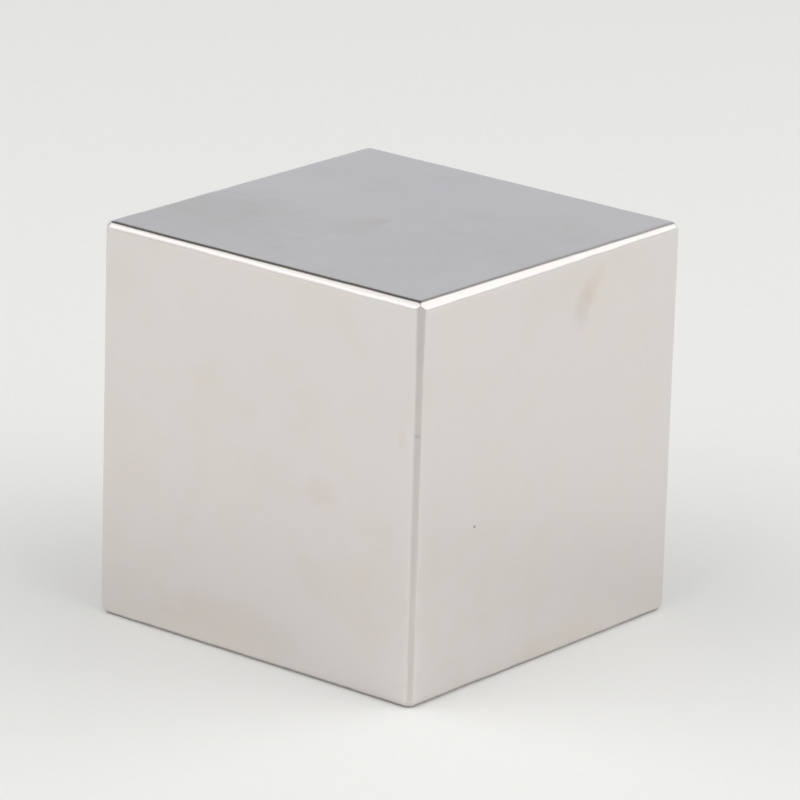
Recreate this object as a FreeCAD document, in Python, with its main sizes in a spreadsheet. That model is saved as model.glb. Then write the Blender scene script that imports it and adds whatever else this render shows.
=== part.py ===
import FreeCAD, Part
import os
import Sketcher

# Block magnet: one sintered neodymium-iron-boron cube. The blank is sawn and ground
# square, each of its twelve edges is ground off at 45 degrees over its whole length, so
# that three chamfers meet in a point at every corner, and tumbling and nickel plating
# then leave a slight roundness on every ridge.
#
# Frame: millimetres, +Z up, origin in the middle of the bottom face, which it rests on.
# The sides at -Y and +X meet in the upright edge nearest to the viewer.

NODE = "block_magnet"
PARTS_FOLDER = "parts"

# Driving dimensions, in millimetres
DIMENSIONS = {
    "block_width": 50.0,  # along X, over the plating
    "block_depth": 50.0,  # along Y
    "block_height": 50.0,  # along Z
    "chamfer_leg": 0.6,  # from the sharp edge to where the chamfer meets each face
    "ridge_radius": 0.2,  # roundness of every ridge between two flats
}

# Places on the blank, as formulas of the sheet's cells
LEFT = "-dimensions.block_width / 2"
RIGHT = "dimensions.block_width / 2"
FRONT = "-dimensions.block_depth / 2"
BACK = "dimensions.block_depth / 2"
BOTTOM = "0"
TOP = "dimensions.block_height"
LEG = "dimensions.chamfer_leg"

# The three ways to look along the blank: the plane that carries the sketch, then the
# low and high side of the outline that is seen, across the sketch and up it
VIEWS = {
    "upright": ("XY_Plane", (LEFT, RIGHT), (FRONT, BACK)),
    "crosswise": ("YZ_Plane", (FRONT, BACK), (BOTTOM, TOP)),
    "lengthwise": ("XZ_Plane", (LEFT, RIGHT), (BOTTOM, TOP)),
}

# A sketch's own origin, and the two ends of a line in it
SKETCH_ORIGIN = -1
LINE_START = 1
LINE_END = 2


def make_sheet(document):
    """Write the driving dimensions into a sheet, with an alias on each value's cell."""
    sheet = document.addObject("Spreadsheet::Sheet", "dimensions")
    for row, (alias, value) in enumerate(DIMENSIONS.items(), start=1):
        sheet.set(f"A{row}", alias)
        sheet.set(f"B{row}", str(value))
        sheet.setAlias(f"B{row}", alias)
    document.recompute()


def make_sketch(body, name, role):
    """Start a sketch that lies on one of the body's own origin planes."""
    plane = next(f for f in body.Origin.OriginFeatures if f.Role == role)
    sketch = body.newObject("Sketcher::SketchObject", name)
    sketch.AttachmentSupport = (plane, "")
    sketch.MapMode = "FlatFace"
    return sketch


def draw_outline(sketch, corners):
    """Draw a closed outline. Each corner is two formulas: its place across and up."""
    places = [[float(sketch.evalExpression(f)) for f in corner] for corner in corners]
    points = [FreeCAD.Vector(across, up, 0) for across, up in places]
    first = sketch.GeometryCount
    for start, end in zip(points, points[1:] + points[:1]):
        sketch.addGeometry(Part.LineSegment(start, end), False)
    for number, corner in enumerate(corners):
        line = first + number
        before = first + (number - 1) % len(corners)
        joined = Sketcher.Constraint("Coincident", before, LINE_END, line, LINE_START)
        sketch.addConstraint(joined)
        for kind, formula, value in zip(("DistanceX", "DistanceY"), corner, places[number]):
            ends = (SKETCH_ORIGIN, LINE_START, line, LINE_START)
            size = sketch.addConstraint(Sketcher.Constraint(kind, *ends, value))
            sketch.setExpression(f"Constraints[{size}]", formula)


def saw_blank(body):
    """The sharp-edged blank, raised from its bottom face."""
    role, (left, right), (front, back) = VIEWS["upright"]
    sketch = make_sketch(body, "blank_outline", role)
    draw_outline(sketch, [(left, front), (right, front), (right, back), (left, back)])
    blank = body.newObject("PartDesign::Pad", "blank")
    blank.Profile = sketch
    blank.setExpression("Length", TOP)


def grind_chamfers(body, view):
    """Grind off the four edges that run along one direction, from end to end."""
    role, sides, levels = VIEWS[view]
    sketch = make_sketch(body, f"{view}_corners", role)
    for side, inward in zip(sides, ("+", "-")):
        for level, upward in zip(levels, ("+", "-")):
            beside = (f"{side} {inward} {LEG}", level)
            above = (side, f"{level} {upward} {LEG}")
            draw_outline(sketch, [(side, level), beside, above])
    chamfers = body.newObject("PartDesign::Pocket", f"{view}_chamfers")
    chamfers.Profile = sketch
    chamfers.Type = "ThroughAll"
    chamfers.SideType = "Symmetric"


def tumble(body):
    """Round every ridge a little, as tumbling and plating do."""
    ground = body.Tip
    ridges = body.newObject("PartDesign::Fillet", "tumbled_ridges")
    ridges.Base = (ground, [])
    ridges.UseAllEdges = True
    ridges.setExpression("Radius", "dimensions.ridge_radius")


def make_block(document):
    """The finished block, one solid."""
    body = document.addObject("PartDesign::Body", NODE)
    body.Label = NODE
    body.Placement = FreeCAD.Placement()
    saw_blank(body)
    for view in VIEWS:
        grind_chamfers(body, view)
    document.recompute()
    tumble(body)
    document.recompute()
    return body


def check(document, body):
    """Stop unless every feature worked and the block is the solid that it should be."""
    failed = [o.Name for o in document.Objects if {"Invalid", "Error"} & set(o.State)]
    if failed:
        raise RuntimeError(f"failed features: {failed}")
    shape = body.Shape
    if shape.isNull() or not shape.isValid() or len(shape.Solids) != 1:
        raise RuntimeError(f"{body.Label} is not one valid solid")
    print(f"{body.Label}: {len(shape.Faces)} faces, {shape.Volume:.2f} cubic mm")


document = FreeCAD.newDocument("block_magnet_model")
make_sheet(document)
block = make_block(document)
check(document, block)
os.makedirs(PARTS_FOLDER, exist_ok=True)
block.Shape.exportStep(os.path.join(PARTS_FOLDER, f"{block.Label}.step"))
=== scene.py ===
import math

import bpy
from mathutils import Matrix, Vector


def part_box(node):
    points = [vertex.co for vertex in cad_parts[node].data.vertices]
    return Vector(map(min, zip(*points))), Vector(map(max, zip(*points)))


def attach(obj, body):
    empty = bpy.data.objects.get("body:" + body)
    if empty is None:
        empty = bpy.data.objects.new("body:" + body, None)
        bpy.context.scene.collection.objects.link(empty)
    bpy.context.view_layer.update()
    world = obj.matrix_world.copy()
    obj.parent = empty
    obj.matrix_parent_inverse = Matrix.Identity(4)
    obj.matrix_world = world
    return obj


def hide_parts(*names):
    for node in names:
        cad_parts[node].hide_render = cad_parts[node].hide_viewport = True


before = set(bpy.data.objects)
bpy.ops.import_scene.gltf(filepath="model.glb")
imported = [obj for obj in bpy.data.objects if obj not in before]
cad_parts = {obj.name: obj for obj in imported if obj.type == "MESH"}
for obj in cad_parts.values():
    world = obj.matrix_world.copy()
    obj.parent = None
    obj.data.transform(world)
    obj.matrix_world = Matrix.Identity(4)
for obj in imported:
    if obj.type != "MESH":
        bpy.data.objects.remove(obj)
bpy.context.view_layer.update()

# Block magnet: one nickel-plated cube on a pale studio floor. All lengths are in metres.

MM = 0.001
BLOCK_NODE = "block_magnet"
BLOCK_LOW, BLOCK_HIGH = (Vector(corner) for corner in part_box(BLOCK_NODE))
BLOCK_SIZE = BLOCK_HIGH - BLOCK_LOW
BLOCK_CENTRE = (BLOCK_LOW + BLOCK_HIGH) / 2

# The ground edges
CHAMFER_LEGS = Vector((0.80, 0.57, 0.56)) * MM  # on the edges along Z, X and Y
FOOT_EXTRA = Vector((0, 0.01, 0.04)) * MM  # how much wider they are around the foot
CORNER_EXTRA = Vector((0.12, 0.15, 0.28)) * MM  # and near the near top corner
CORNER_REACH = Vector((35, 50, 10)) * MM  # how far that reaches along X, Y and Z
CORNER_CORE = 0.2  # the share of that reach in which they have their full width
GRIND_WANDER = Vector((0.28, 0.34, 0.45)) * MM  # how far hand-held edges wander
WANDER_LENGTH = 6 * MM  # one wave of that wander
WANDER_RAGGED = 0.65  # how strong its smaller waves are
WANDER_SEED = 3.0
CORNER_WEAR = 1.6 * MM  # how far the knocked corners are worn back along their edges
ROLL_OFF = 0.34 * MM  # the strip beside a chamfer where tumbling wore the face down
ROLL_OFF_SLOPE = math.tan(math.radians(13))
RIDGE_SHARPNESS = 48.0  # the higher, the crisper the ridges between the flats
GROUND_SHARE = "ground_share"  # on the mesh: 1 on a ground chamfer, 0 on a face

# The mesh: rows crowd into a band along each edge, where the chamfers and ridges are
EDGE_BAND = 1.6 * MM
BAND_SHARE = 0.50  # of the rows of a face
ROWS = 129  # rows of points on a face, from edge to edge

# The plating
NICKEL_COLOUR = "#DAD5D2"
HAZE_COLOUR = "#D6D1CC"
COOL_COLOUR = "#D8D5D4"
# painted shade: the ground chamfers are darkened to stand in for the dimmer floor in front that they
# mirror
CHAMFER_SHADE_COLOUR = "#CDC9C6"
HAZE_PATCH = 18 * MM  # a cloud of slightly duller plating
HAZE_FROM, HAZE_FULL = 0.35, 0.70  # where in the noise a cloud starts and is full
COOL_PATCH = 10 * MM  # a cloud of slightly cooler plating
COOL_FROM, COOL_FULL = 0.35, 0.65
CLOUD_DETAIL = 4.0  # how many sizes of smaller clouds there are
CLOUD_RAGGED = 0.65  # how strong they are
FACE_ROUGHNESS = 0.14
HAZE_ROUGHNESS = 0.18
CHAMFER_ROUGHNESS = 0.42
PEEL_WAVE = 0.8 * MM  # one dimple of the plating's orange peel
PEEL_DEPTH = 0.0025 * MM
GRIND_LINE = 0.25 * MM  # drawn coarser: a real one is near 0.03 mm, too fine to show
GRIND_LENGTH = 30 * MM
GRIND_DEPTH = 0.0004 * MM
STAIN_RIM = 2 * MM  # one wave of a stain's ragged rim
STAIN_DETAIL = 3.0  # how many sizes of smaller waves it has
STAIN_CORE = 0.3  # the share of a stain's size in which it has its full strength
# Each faint stain: its centre from the block's and its half lengths along X, Y and Z, in
# millimetres, then its colour and how strong it is
STAINS = {
    "smear_head": ((25, 8.6, 22.0), (2, 1.6, 1.7), "#C9B48C", 0.12),
    "smear_core": ((25, 7.0, 20.2), (2, 1.8, 2.8), "#C2966C", 0.16),
    "smear_tail": ((25, 5.4, 18.2), (2, 2.0, 3.3), "#A0958C", 0.16),
    "dark_dot": ((25, -13.9, -4.8), (2, 0.24, 0.24), "#55504A", 0.80),
    "side_spot": ((10.6, -25, -1.2), (3.2, 2, 2.6), "#C49C8A", 0.10),
    "edge_spot": ((22.6, -25, 7.9), (0.7, 2, 1.5), "#CDA58C", 0.13),
    "edge_nick": ((24.6, -24.6, 8.8), (0.6, 0.6, 0.3), "#8E8783", 0.25),
    "foot_band": ((-4, -25, -21), (17, 2, 3.4), "#C6ABA0", 0.10),
    "top_spot": ((6.7, 9.0, 25), (4.0, 3.4, 2), "#B8A292", 0.10),
    "top_cloud": ((-1.6, -5.5, 25), (4.5, 5.5, 2), "#B3A983", 0.12),
    "top_fleck": ((-1.2, -1.5, 25), (1.8, 1.8, 2), "#B48C74", 0.12),
    "top_haze": ((-20, -16, 25), (24, 17, 2), "#A8A29A", 0.13),
}

# The camera, as it stands to the block
CAMERA_AZIMUTH = math.radians(39.15)
CAMERA_ELEVATION = math.radians(17.50)
CAMERA_ROLL = math.radians(1.71)
CAMERA_DISTANCE = 707.5 * MM
AIM_RIGHT = 1.42 * MM  # where the lens points, measured from the block's centre
AIM_UP = 2.16 * MM
LENS_MM = 260.0  # the focal length
NEAR_LIMIT = 10 * MM  # nothing nearer than this is drawn

# The studio. Places on the world's sphere of radius one are given as the camera sees
# them on level ground: right, back and up.
FLOOR_COLOUR = "#E2E2E0"
MIRRORED_FLOOR_COLOUR = "#F0EFEC"  # what the plating mirrors of the floor
FLOOR_SIZE = 1.0
BACKDROP_COLOUR = "#D5D7DC"
PAPER_COLOUR = "#F4F4F4"
ROOM_COLOUR = "#9A9A9A"
FRONT_COLOUR = "#7C7C7C"
CEILING_COLOUR = "#DDDDDD"
GAP_COLOUR = "#656361"
SIDE_FROM, SIDE_FULL = 0.35, 0.75  # how far to a side the white paper starts
PAPER_FROM, PAPER_FULL = 0.28, 0.18  # how high up the sides it reaches
FRONT_FROM, FRONT_FULL = 0.30, 0.80  # how far toward the camera the room grows dim
CEILING_FROM, CEILING_FULL = 0.40, 0.60  # how high the ceiling starts
GAP_PLACE = (-0.20, 0.77, 0.60)  # a dark gap, which the ridges around the top mirror
GAP_CORE, GAP_RIM = 0.22, 0.55  # how far from its place it is dark
GAP_FROM, GAP_FULL = 0.36, 0.48  # how high it starts
SOFTBOX_DISTANCE = 0.90
# Each softbox: its place, its width and height, and its brightness, where 1 is white
SOFTBOXES = {
    "left_softbox": ((-0.80, -0.29, 0.55), 1.68, 0.94, 1.30),
    "right_softbox": ((0.82, -0.17, 0.57), 1.90, 0.92, 1.38),
}
LOW_GLOW = 0.35  # how bright a softbox is at its lower edge, as a share of its full glow
GLOW_FULL = 0.50  # how high up it shines in full, as a share of its height

MATH = "ShaderNodeMath"
VECTOR_MATH = "ShaderNodeVectorMath"
MAP_RANGE = "ShaderNodeMapRange"
MIX = "ShaderNodeMix"
NOISE = "ShaderNodeTexNoise"


def linear(colour):
    """An sRGB hex colour as linear RGB with alpha."""
    parts = [int(colour[i : i + 2], 16) / 255 for i in (1, 3, 5)]
    return (*(p / 12.92 if p <= 0.04045 else ((p + 0.055) / 1.055) ** 2.4 for p in parts), 1.0)


def add(tree, kind, *values, out=0, **named):
    """Add a node, give it its settings and inputs, and return one of its outputs.

    Values in order go to the inputs in use. A named value goes to the input of that name,
    such as from_min to From Min, and otherwise to the node's own setting.
    """
    node = tree.nodes.new(kind)
    names = {socket.name for socket in node.inputs}
    for name in [name for name in named if name.replace("_", " ").title() not in names]:
        setattr(node, name, named.pop(name))
    inputs = [socket for socket in node.inputs if socket.enabled]
    chosen = list(zip(inputs, values))
    for name, value in named.items():
        chosen.append((next(s for s in inputs if s.name == name.replace("_", " ").title()), value))
    for socket, value in chosen:
        if isinstance(value, bpy.types.NodeSocket):
            tree.links.new(value, socket)
        else:
            socket.default_value = value
    outputs = [socket for socket in node.outputs if socket.enabled]
    if not outputs:
        return None
    return outputs[out] if isinstance(out, int) else next(s for s in outputs if s.name == out)


# The block


def block_tree():
    """Geometry nodes that grind and tumble a sharp block into shape.

    Every point of the surface is measured in edge bands from the middle box, so that it
    is 1 on a face and 2 on the sharp edge. The largest of all the flats would give crisp
    ridges between them, and a high power mean of the flats gives tumbled ones.
    """
    tree = bpy.data.node_groups.new("ground_block", "GeometryNodeTree")
    for name, kind in (
        ("Half size", "NodeSocketVector"),
        ("Centre", "NodeSocketVector"),
        ("Edge band", "NodeSocketFloat"),
        ("Band share", "NodeSocketFloat"),
        ("Rows", "NodeSocketInt"),
        ("Chamfer legs", "NodeSocketVector"),
        ("Foot extra", "NodeSocketVector"),
        ("Corner extra", "NodeSocketVector"),
        ("Corner reach", "NodeSocketVector"),
        ("Corner core", "NodeSocketFloat"),
        ("Corner wear", "NodeSocketFloat"),
        ("Wander", "NodeSocketVector"),
        ("Wander length", "NodeSocketFloat"),
        ("Ragged", "NodeSocketFloat"),
        ("Seed", "NodeSocketFloat"),
        ("Roll-off", "NodeSocketFloat"),
        ("Roll-off slope", "NodeSocketFloat"),
        ("Ridge sharpness", "NodeSocketFloat"),
        ("Plating", "NodeSocketMaterial"),
    ):
        tree.interface.new_socket(name, in_out="INPUT", socket_type=kind)
    tree.interface.new_socket("Block", in_out="OUTPUT", socket_type="NodeSocketGeometry")
    given = tree.nodes.new("NodeGroupInput").outputs
    band_size = given["Edge band"]
    slope = given["Roll-off slope"]
    ones = (1, 1, 1)

    # A cube from -1 to 1, with its rows even
    rows = given["Rows"]
    cube = add(tree, "GeometryNodeMeshCube", (2, 2, 2), rows, rows, rows)
    even = add(tree, "GeometryNodeInputPosition")
    side = add(tree, VECTOR_MATH, even, operation="SIGN")
    reach = add(tree, VECTOR_MATH, even, operation="ABSOLUTE")

    # The inner rows spread over the middle box, the outer ones over the edge band
    inner_share = add(tree, MATH, 1.0, given["Band share"], operation="SUBTRACT")
    inner_stretch = add(tree, MATH, 1.0, inner_share, operation="DIVIDE")
    band_stretch = add(tree, MATH, 1.0, given["Band share"], operation="DIVIDE")
    inner = add(tree, VECTOR_MATH, reach, inner_share, operation="MINIMUM")
    inner = add(tree, VECTOR_MATH, inner, inner_stretch, operation="SCALE")
    band = add(tree, VECTOR_MATH, reach, inner_share, operation="SUBTRACT")
    band = add(tree, VECTOR_MATH, band, (0, 0, 0), operation="MAXIMUM")
    band = add(tree, VECTOR_MATH, band, band_stretch, operation="SCALE")
    middle = add(tree, VECTOR_MATH, given["Half size"], band_size, operation="SUBTRACT")
    middle = add(tree, VECTOR_MATH, inner, middle, operation="MULTIPLY")
    middle = add(tree, VECTOR_MATH, middle, side, operation="MULTIPLY")
    place = add(tree, VECTOR_MATH, middle, given["Centre"])

    # How near a point is to the near top corner, from 0 to 1
    near_corner = add(tree, VECTOR_MATH, given["Half size"], (1, -1, 1), operation="MULTIPLY")
    away = add(tree, VECTOR_MATH, near_corner, middle, operation="SUBTRACT")
    away = add(tree, VECTOR_MATH, away, given["Corner reach"], operation="DIVIDE")
    away = add(tree, VECTOR_MATH, away, operation="LENGTH", out="Value")
    nearness = add(tree, MAP_RANGE, away, 1.0, given["Corner core"], interpolation_type="SMOOTHSTEP")

    # The chamfers' legs: a little uneven, and wider towards that corner and at the foot
    waves = add(tree, MATH, 1.0, given["Wander length"], operation="DIVIDE")
    waves = add(
        tree,
        NOISE,
        place,
        given["Seed"],
        waves,
        roughness=given["Ragged"],
        noise_dimensions="4D",
        out="Color",
    )
    waves = add(tree, VECTOR_MATH, waves, (0.5, 0.5, 0.5), operation="SUBTRACT")
    wander = add(tree, VECTOR_MATH, waves, given["Wander"], operation="MULTIPLY")
    at_foot = add(tree, "ShaderNodeSeparateXYZ", side, out=2)
    at_foot = add(tree, MATH, at_foot, -1.0, operation="MULTIPLY", use_clamp=True)
    legs = add(tree, VECTOR_MATH, given["Corner extra"], nearness, operation="SCALE")
    legs = add(tree, VECTOR_MATH, legs, given["Chamfer legs"])
    legs = add(tree, VECTOR_MATH, given["Foot extra"], at_foot, legs, operation="MULTIPLY_ADD")
    legs = add(tree, VECTOR_MATH, legs, wander)
    strip_legs = add(tree, VECTOR_MATH, legs, given["Roll-off"])
    farness = add(tree, MATH, 1.0, nearness, operation="SUBTRACT")
    wear = add(tree, MATH, farness, given["Corner wear"], operation="MULTIPLY")

    # The flats, each 1 where its plane is reached: the faces, the chamfers between two
    # faces, the worn strips on both sides of a chamfer, and the worn corners
    turn = add(tree, "ShaderNodeSeparateXYZ", band).node.outputs
    turned = add(tree, "ShaderNodeCombineXYZ", turn[1], turn[2], turn[0])
    chamfer_reach = add(tree, VECTOR_MATH, legs, band_size, operation="DIVIDE")
    chamfer_reach = add(tree, VECTOR_MATH, (2, 2, 2), chamfer_reach, operation="SUBTRACT")
    chamfers = add(tree, VECTOR_MATH, band, turned)
    chamfers = add(tree, VECTOR_MATH, chamfers, chamfer_reach, operation="DIVIDE")
    strip_reach = add(tree, VECTOR_MATH, strip_legs, band_size, operation="DIVIDE")
    strip_reach = add(tree, VECTOR_MATH, ones, strip_reach, operation="SUBTRACT")
    strip_reach = add(tree, VECTOR_MATH, strip_reach, slope, ones, operation="MULTIPLY_ADD")
    strips = add(tree, VECTOR_MATH, turned, slope, band, operation="MULTIPLY_ADD")
    strips = add(tree, VECTOR_MATH, strips, strip_reach, operation="DIVIDE")
    other_strips = add(tree, VECTOR_MATH, band, slope, turned, operation="MULTIPLY_ADD")
    other_strips = add(tree, VECTOR_MATH, other_strips, strip_reach, operation="DIVIDE")
    corner_reach = add(tree, MATH, wear, band_size, operation="DIVIDE")
    corner_reach = add(tree, MATH, 3.0, corner_reach, operation="SUBTRACT")
    corners = add(tree, VECTOR_MATH, band, ones, operation="DOT_PRODUCT", out="Value")
    corners = add(tree, MATH, corners, corner_reach, operation="DIVIDE")

    # Their power mean rounds the ridges, and says how much of a spot is ground chamfer
    sharpness = given["Ridge sharpness"]
    total = add(tree, MATH, corners, sharpness, operation="POWER")
    for flats in (band, strips, other_strips, chamfers):
        power = add(tree, VECTOR_MATH, flats, sharpness, operation="POWER")
        power = add(tree, VECTOR_MATH, power, ones, operation="DOT_PRODUCT", out="Value")
        total = add(tree, MATH, total, power)
    chamfer_power = power
    ground = add(tree, MATH, chamfer_power, total, operation="DIVIDE")
    root = add(tree, MATH, 1.0, sharpness, operation="DIVIDE")
    mean = add(tree, MATH, total, root, operation="POWER")
    stretch = add(tree, MATH, band_size, mean, operation="DIVIDE")
    outward = add(tree, VECTOR_MATH, band, side, operation="MULTIPLY")
    outward = add(tree, VECTOR_MATH, outward, stretch, operation="SCALE")
    finished = add(tree, VECTOR_MATH, place, outward)

    marked = add(tree, "GeometryNodeStoreNamedAttribute", cube, name=GROUND_SHARE, value=ground)
    shaped = add(tree, "GeometryNodeSetPosition", marked, position=finished)
    smooth = add(tree, "GeometryNodeSetShadeSmooth", shaped)
    real = add(tree, "GeometryNodeRealizeInstances", smooth)
    plated = add(tree, "GeometryNodeSetMaterial", real, material=given["Plating"])
    add(tree, "NodeGroupOutput", plated)
    return tree


def make_block(plating):
    """The block as a plain mesh that stands for its solid."""
    tree = block_tree()
    maker = bpy.data.objects.new("block_maker", bpy.data.meshes.new("block_maker"))
    bpy.context.scene.collection.objects.link(maker)
    modifier = maker.modifiers.new("grinding", "NODES")
    modifier.node_group = tree
    sizes = {
        "Half size": BLOCK_SIZE / 2,
        "Centre": BLOCK_CENTRE,
        "Edge band": EDGE_BAND,
        "Band share": BAND_SHARE,
        "Rows": ROWS,
        "Chamfer legs": CHAMFER_LEGS,
        "Foot extra": FOOT_EXTRA,
        "Corner extra": CORNER_EXTRA,
        "Corner reach": CORNER_REACH,
        "Corner core": CORNER_CORE,
        "Corner wear": CORNER_WEAR,
        "Wander": GRIND_WANDER,
        "Wander length": WANDER_LENGTH,
        "Ragged": WANDER_RAGGED,
        "Seed": WANDER_SEED,
        "Roll-off": ROLL_OFF,
        "Roll-off slope": ROLL_OFF_SLOPE,
        "Ridge sharpness": RIDGE_SHARPNESS,
        "Plating": plating,
    }
    for item in tree.interface.items_tree:
        if item.in_out == "INPUT":
            modifier[item.identifier] = sizes[item.name]
    evaluated = maker.evaluated_get(bpy.context.evaluated_depsgraph_get())
    mesh = bpy.data.meshes.new_from_object(evaluated)
    bpy.data.objects.remove(maker)
    block = bpy.data.objects.new("block", mesh)
    bpy.context.scene.collection.objects.link(block)
    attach(block, "root")
    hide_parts(BLOCK_NODE)


def bright_nickel():
    """Bright nickel electroplated over a ground and tumbled block.

    The eye sees a warm pale metal that mirrors the studio softly: clear on the faces,
    with a faint orange peel and clouds of haze, and duller on the ground chamfers.
    """
    material = bpy.data.materials.new("bright_nickel_plate")
    material.use_nodes = True
    tree = material.node_tree
    tree.nodes.clear()
    place = add(tree, "ShaderNodeTexCoord", out="Object")

    # Clouds of haze, and others with a cooler tint
    cloud = add(tree, NOISE, place, 1 / HAZE_PATCH, CLOUD_DETAIL, CLOUD_RAGGED)
    haze = add(tree, MAP_RANGE, cloud, HAZE_FROM, HAZE_FULL, interpolation_type="SMOOTHSTEP")
    colour = add(tree, MIX, haze, linear(NICKEL_COLOUR), linear(HAZE_COLOUR), data_type="RGBA")
    cloud = add(tree, NOISE, place, 1 / COOL_PATCH, CLOUD_DETAIL, CLOUD_RAGGED)
    cool = add(tree, MAP_RANGE, cloud, COOL_FROM, COOL_FULL, interpolation_type="SMOOTHSTEP")
    colour = add(tree, MIX, cool, colour, linear(COOL_COLOUR), data_type="RGBA")

    # Ground chamfers are duller than the faces, and darker by painted shade that stands in for the
    # dimmer floor they mirror
    roughness = add(tree, MAP_RANGE, haze, to_min=FACE_ROUGHNESS, to_max=HAZE_ROUGHNESS)
    ground = add(tree, "ShaderNodeAttribute", attribute_name=GROUND_SHARE, out="Fac")
    roughness = add(tree, MIX, ground, roughness, CHAMFER_ROUGHNESS)
    colour = add(tree, MIX, ground, colour, linear(CHAMFER_SHADE_COLOUR), data_type="RGBA")

    # Faint stains with ragged rims
    ragged = add(tree, NOISE, place, 1 / STAIN_RIM, STAIN_DETAIL, out="Color")
    ragged = add(tree, VECTOR_MATH, ragged, (0.5, 0.5, 0.5), operation="SUBTRACT")
    for centre, half_lengths, stain_colour, strength in STAINS.values():
        middle = BLOCK_CENTRE + Vector(centre) * MM
        offset = add(tree, VECTOR_MATH, place, middle, operation="SUBTRACT")
        offset = add(tree, VECTOR_MATH, offset, Vector(half_lengths) * MM, operation="DIVIDE")
        offset = add(tree, VECTOR_MATH, offset, ragged)
        distance = add(tree, VECTOR_MATH, offset, operation="LENGTH", out="Value")
        stain = add(
            tree,
            MAP_RANGE,
            distance,
            1.0,
            STAIN_CORE,
            to_max=strength,
            interpolation_type="SMOOTHSTEP",
        )
        colour = add(tree, MIX, stain, colour, linear(stain_colour), data_type="RGBA")

    # Grinding lines run along Y on the ends and along X elsewhere, under the orange peel
    facing = add(tree, "ShaderNodeTexCoord", out="Normal")
    facing = add(tree, VECTOR_MATH, facing, operation="ABSOLUTE")
    on_end = add(tree, "ShaderNodeSeparateXYZ", facing)
    on_end = add(tree, MATH, on_end, 0.5, operation="GREATER_THAN")
    across, along = 1 / GRIND_LINE, 1 / GRIND_LENGTH
    lines = [
        add(tree, NOISE, add(tree, VECTOR_MATH, place, scales, operation="MULTIPLY"), 1.0, 1.0)
        for scales in ((along, across, across), (across, along, across))
    ]
    lines = add(tree, MIX, on_end, *lines)
    lines = add(tree, MATH, lines, GRIND_DEPTH, operation="MULTIPLY")
    peel = add(tree, NOISE, place, 1 / PEEL_WAVE, 1.0)
    relief = add(tree, MATH, peel, PEEL_DEPTH, lines, operation="MULTIPLY_ADD")
    normal = add(tree, "ShaderNodeBump", distance=1.0, height=relief)

    metal = add(
        tree,
        "ShaderNodeBsdfPrincipled",
        base_color=colour,
        metallic=1.0,
        roughness=roughness,
        normal=normal,
    )
    add(tree, "ShaderNodeOutputMaterial", metal)
    return material


# The studio


def toward(right, back, up):
    """A direction given as the camera sees it on level ground, as a vector of length one."""
    level = Vector((math.cos(CAMERA_AZIMUTH), math.sin(CAMERA_AZIMUTH), 0))
    behind = Vector((-math.sin(CAMERA_AZIMUTH), math.cos(CAMERA_AZIMUTH), 0))
    return (level * right + behind * back + Vector((0, 0, up))).normalized()


def make_camera():
    """A long lens at the photo's height, on the block's near upright edge."""
    away = toward(0, -math.cos(CAMERA_ELEVATION), math.sin(CAMERA_ELEVATION))
    right = Matrix.Rotation(CAMERA_ROLL, 3, away) @ toward(1, 0, 0)
    up = away.cross(right)
    data = bpy.data.cameras.new("camera")
    data.lens = LENS_MM
    data.clip_start = NEAR_LIMIT
    camera = bpy.data.objects.new("camera", data)
    place = BLOCK_CENTRE + right * AIM_RIGHT + up * AIM_UP + away * CAMERA_DISTANCE
    camera.matrix_world = Matrix.Translation(place) @ Matrix((right, up, away)).transposed().to_4x4()
    bpy.context.scene.collection.objects.link(camera)
    bpy.context.scene.camera = camera


def matt_white_board():
    """Matt white board: plain and pale, and whiter in the metal that mirrors it."""
    material = bpy.data.materials.new("matt_white_board")
    material.use_nodes = True
    tree = material.node_tree
    tree.nodes.clear()
    mirrored = add(tree, "ShaderNodeLightPath", out="Is Glossy Ray")
    tones = [linear(colour) for colour in (FLOOR_COLOUR, MIRRORED_FLOOR_COLOUR)]
    colour = add(tree, MIX, mirrored, *tones, data_type="RGBA")
    board = add(tree, "ShaderNodeBsdfDiffuse", colour)
    add(tree, "ShaderNodeOutputMaterial", board)
    return material


def make_floor():
    """A plain pale floor, wide enough to pass behind the block as well."""
    half = FLOOR_SIZE / 2
    corners = [(-half, -half, 0), (half, -half, 0), (half, half, 0), (-half, half, 0)]
    mesh = bpy.data.meshes.new("floor")
    mesh.from_pydata(corners, [], [(0, 1, 2, 3)])
    mesh.materials.append(matt_white_board())
    floor = bpy.data.objects.new("floor", mesh)
    bpy.context.scene.collection.objects.link(floor)


def make_softbox(name, place, width, height, brightness):
    """A softbox that faces the block and fades a little towards its lower edge.

    Only reflections show it, not the camera.
    """
    data = bpy.data.lights.new(name, "AREA")
    data.shape = "RECTANGLE"
    data.size = width
    data.size_y = height
    data.energy = brightness * math.pi * width * height
    data.use_nodes = True
    tree = data.node_tree
    tree.nodes.clear()
    spot = add(tree, "ShaderNodeNewGeometry", out="Parametric")
    spot_height = add(tree, "ShaderNodeSeparateXYZ", spot, out=1)
    glow = add(tree, MAP_RANGE, spot_height, 0.0, GLOW_FULL, LOW_GLOW, interpolation_type="SMOOTHSTEP")
    shine = add(tree, "ShaderNodeEmission", strength=glow)
    add(tree, "ShaderNodeOutputLight", shine)
    lamp = bpy.data.objects.new(name, data)
    direction = toward(*place)
    turn = (-direction).to_track_quat("-Z", "Y").to_matrix().to_4x4()
    lamp.matrix_world = Matrix.Translation(BLOCK_CENTRE + direction * SOFTBOX_DISTANCE) @ turn
    lamp.visible_camera = False
    bpy.context.scene.collection.objects.link(lamp)


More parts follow.
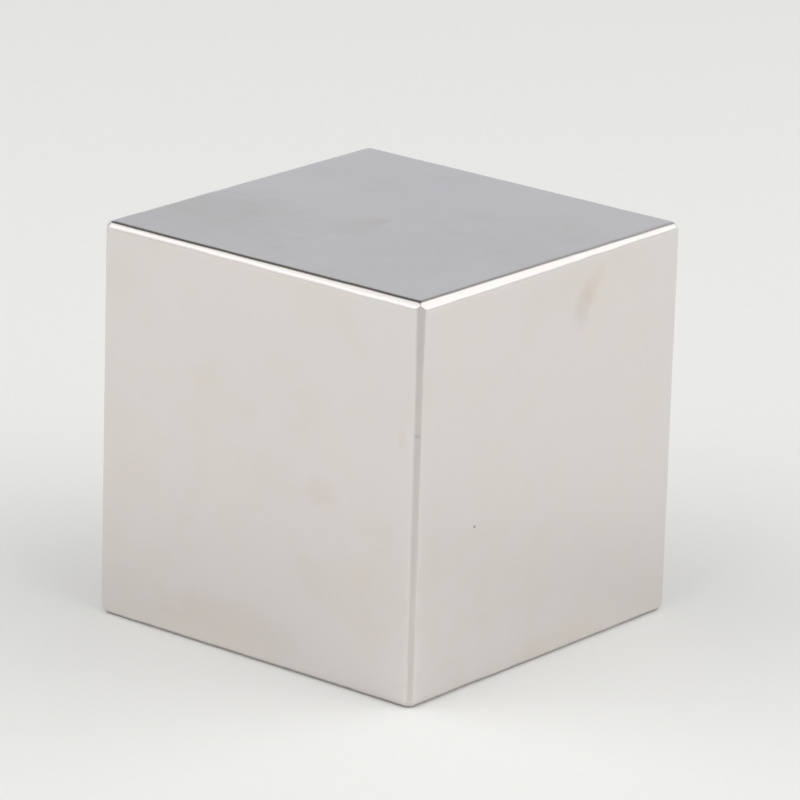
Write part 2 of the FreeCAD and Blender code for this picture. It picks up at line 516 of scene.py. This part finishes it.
def make_world():
    """A room with a pale backdrop, white paper at the sides, a pale ceiling and one gap."""
    world = bpy.data.worlds.new("studio")
    world.use_nodes = True
    tree = world.node_tree
    tree.nodes.clear()
    direction = add(tree, "ShaderNodeTexCoord", out="Generated")
    sideways = add(tree, VECTOR_MATH, direction, toward(1, 0, 0), operation="DOT_PRODUCT", out="Value")
    sideways = add(tree, MATH, sideways, operation="ABSOLUTE")
    frontward = add(tree, VECTOR_MATH, direction, toward(0, -1, 0), operation="DOT_PRODUCT", out="Value")
    upward = add(tree, VECTOR_MATH, direction, toward(0, 0, 1), operation="DOT_PRODUCT", out="Value")
    past_gap = add(tree, VECTOR_MATH, direction, toward(*GAP_PLACE), operation="DISTANCE", out="Value")
    low = add(tree, MAP_RANGE, upward, PAPER_FROM, PAPER_FULL, interpolation_type="SMOOTHSTEP")
    sides = add(tree, MIX, low, linear(ROOM_COLOUR), linear(PAPER_COLOUR), data_type="RGBA")
    colour = linear(BACKDROP_COLOUR)
    for where, start, full, next_colour in (
        (sideways, SIDE_FROM, SIDE_FULL, sides),
        (frontward, FRONT_FROM, FRONT_FULL, linear(FRONT_COLOUR)),
        (upward, CEILING_FROM, CEILING_FULL, linear(CEILING_COLOUR)),
    ):
        share = add(tree, MAP_RANGE, where, start, full, interpolation_type="SMOOTHSTEP")
        colour = add(tree, MIX, share, colour, next_colour, data_type="RGBA")
    high = add(tree, MAP_RANGE, upward, GAP_FROM, GAP_FULL, interpolation_type="SMOOTHSTEP")
    gap = add(tree, MAP_RANGE, past_gap, GAP_RIM, GAP_CORE, 0.0, high, interpolation_type="SMOOTHSTEP")
    colour = add(tree, MIX, gap, colour, linear(GAP_COLOUR), data_type="RGBA")
    light = add(tree, "ShaderNodeBackground", colour)
    add(tree, "ShaderNodeOutputWorld", light)
    bpy.context.scene.world = world


make_block(bright_nickel())
make_camera()
make_floor()
make_world()
for name, settings in SOFTBOXES.items():
    make_softbox(name, *settings)
bpy.context.scene.view_settings.view_transform = "Standard"
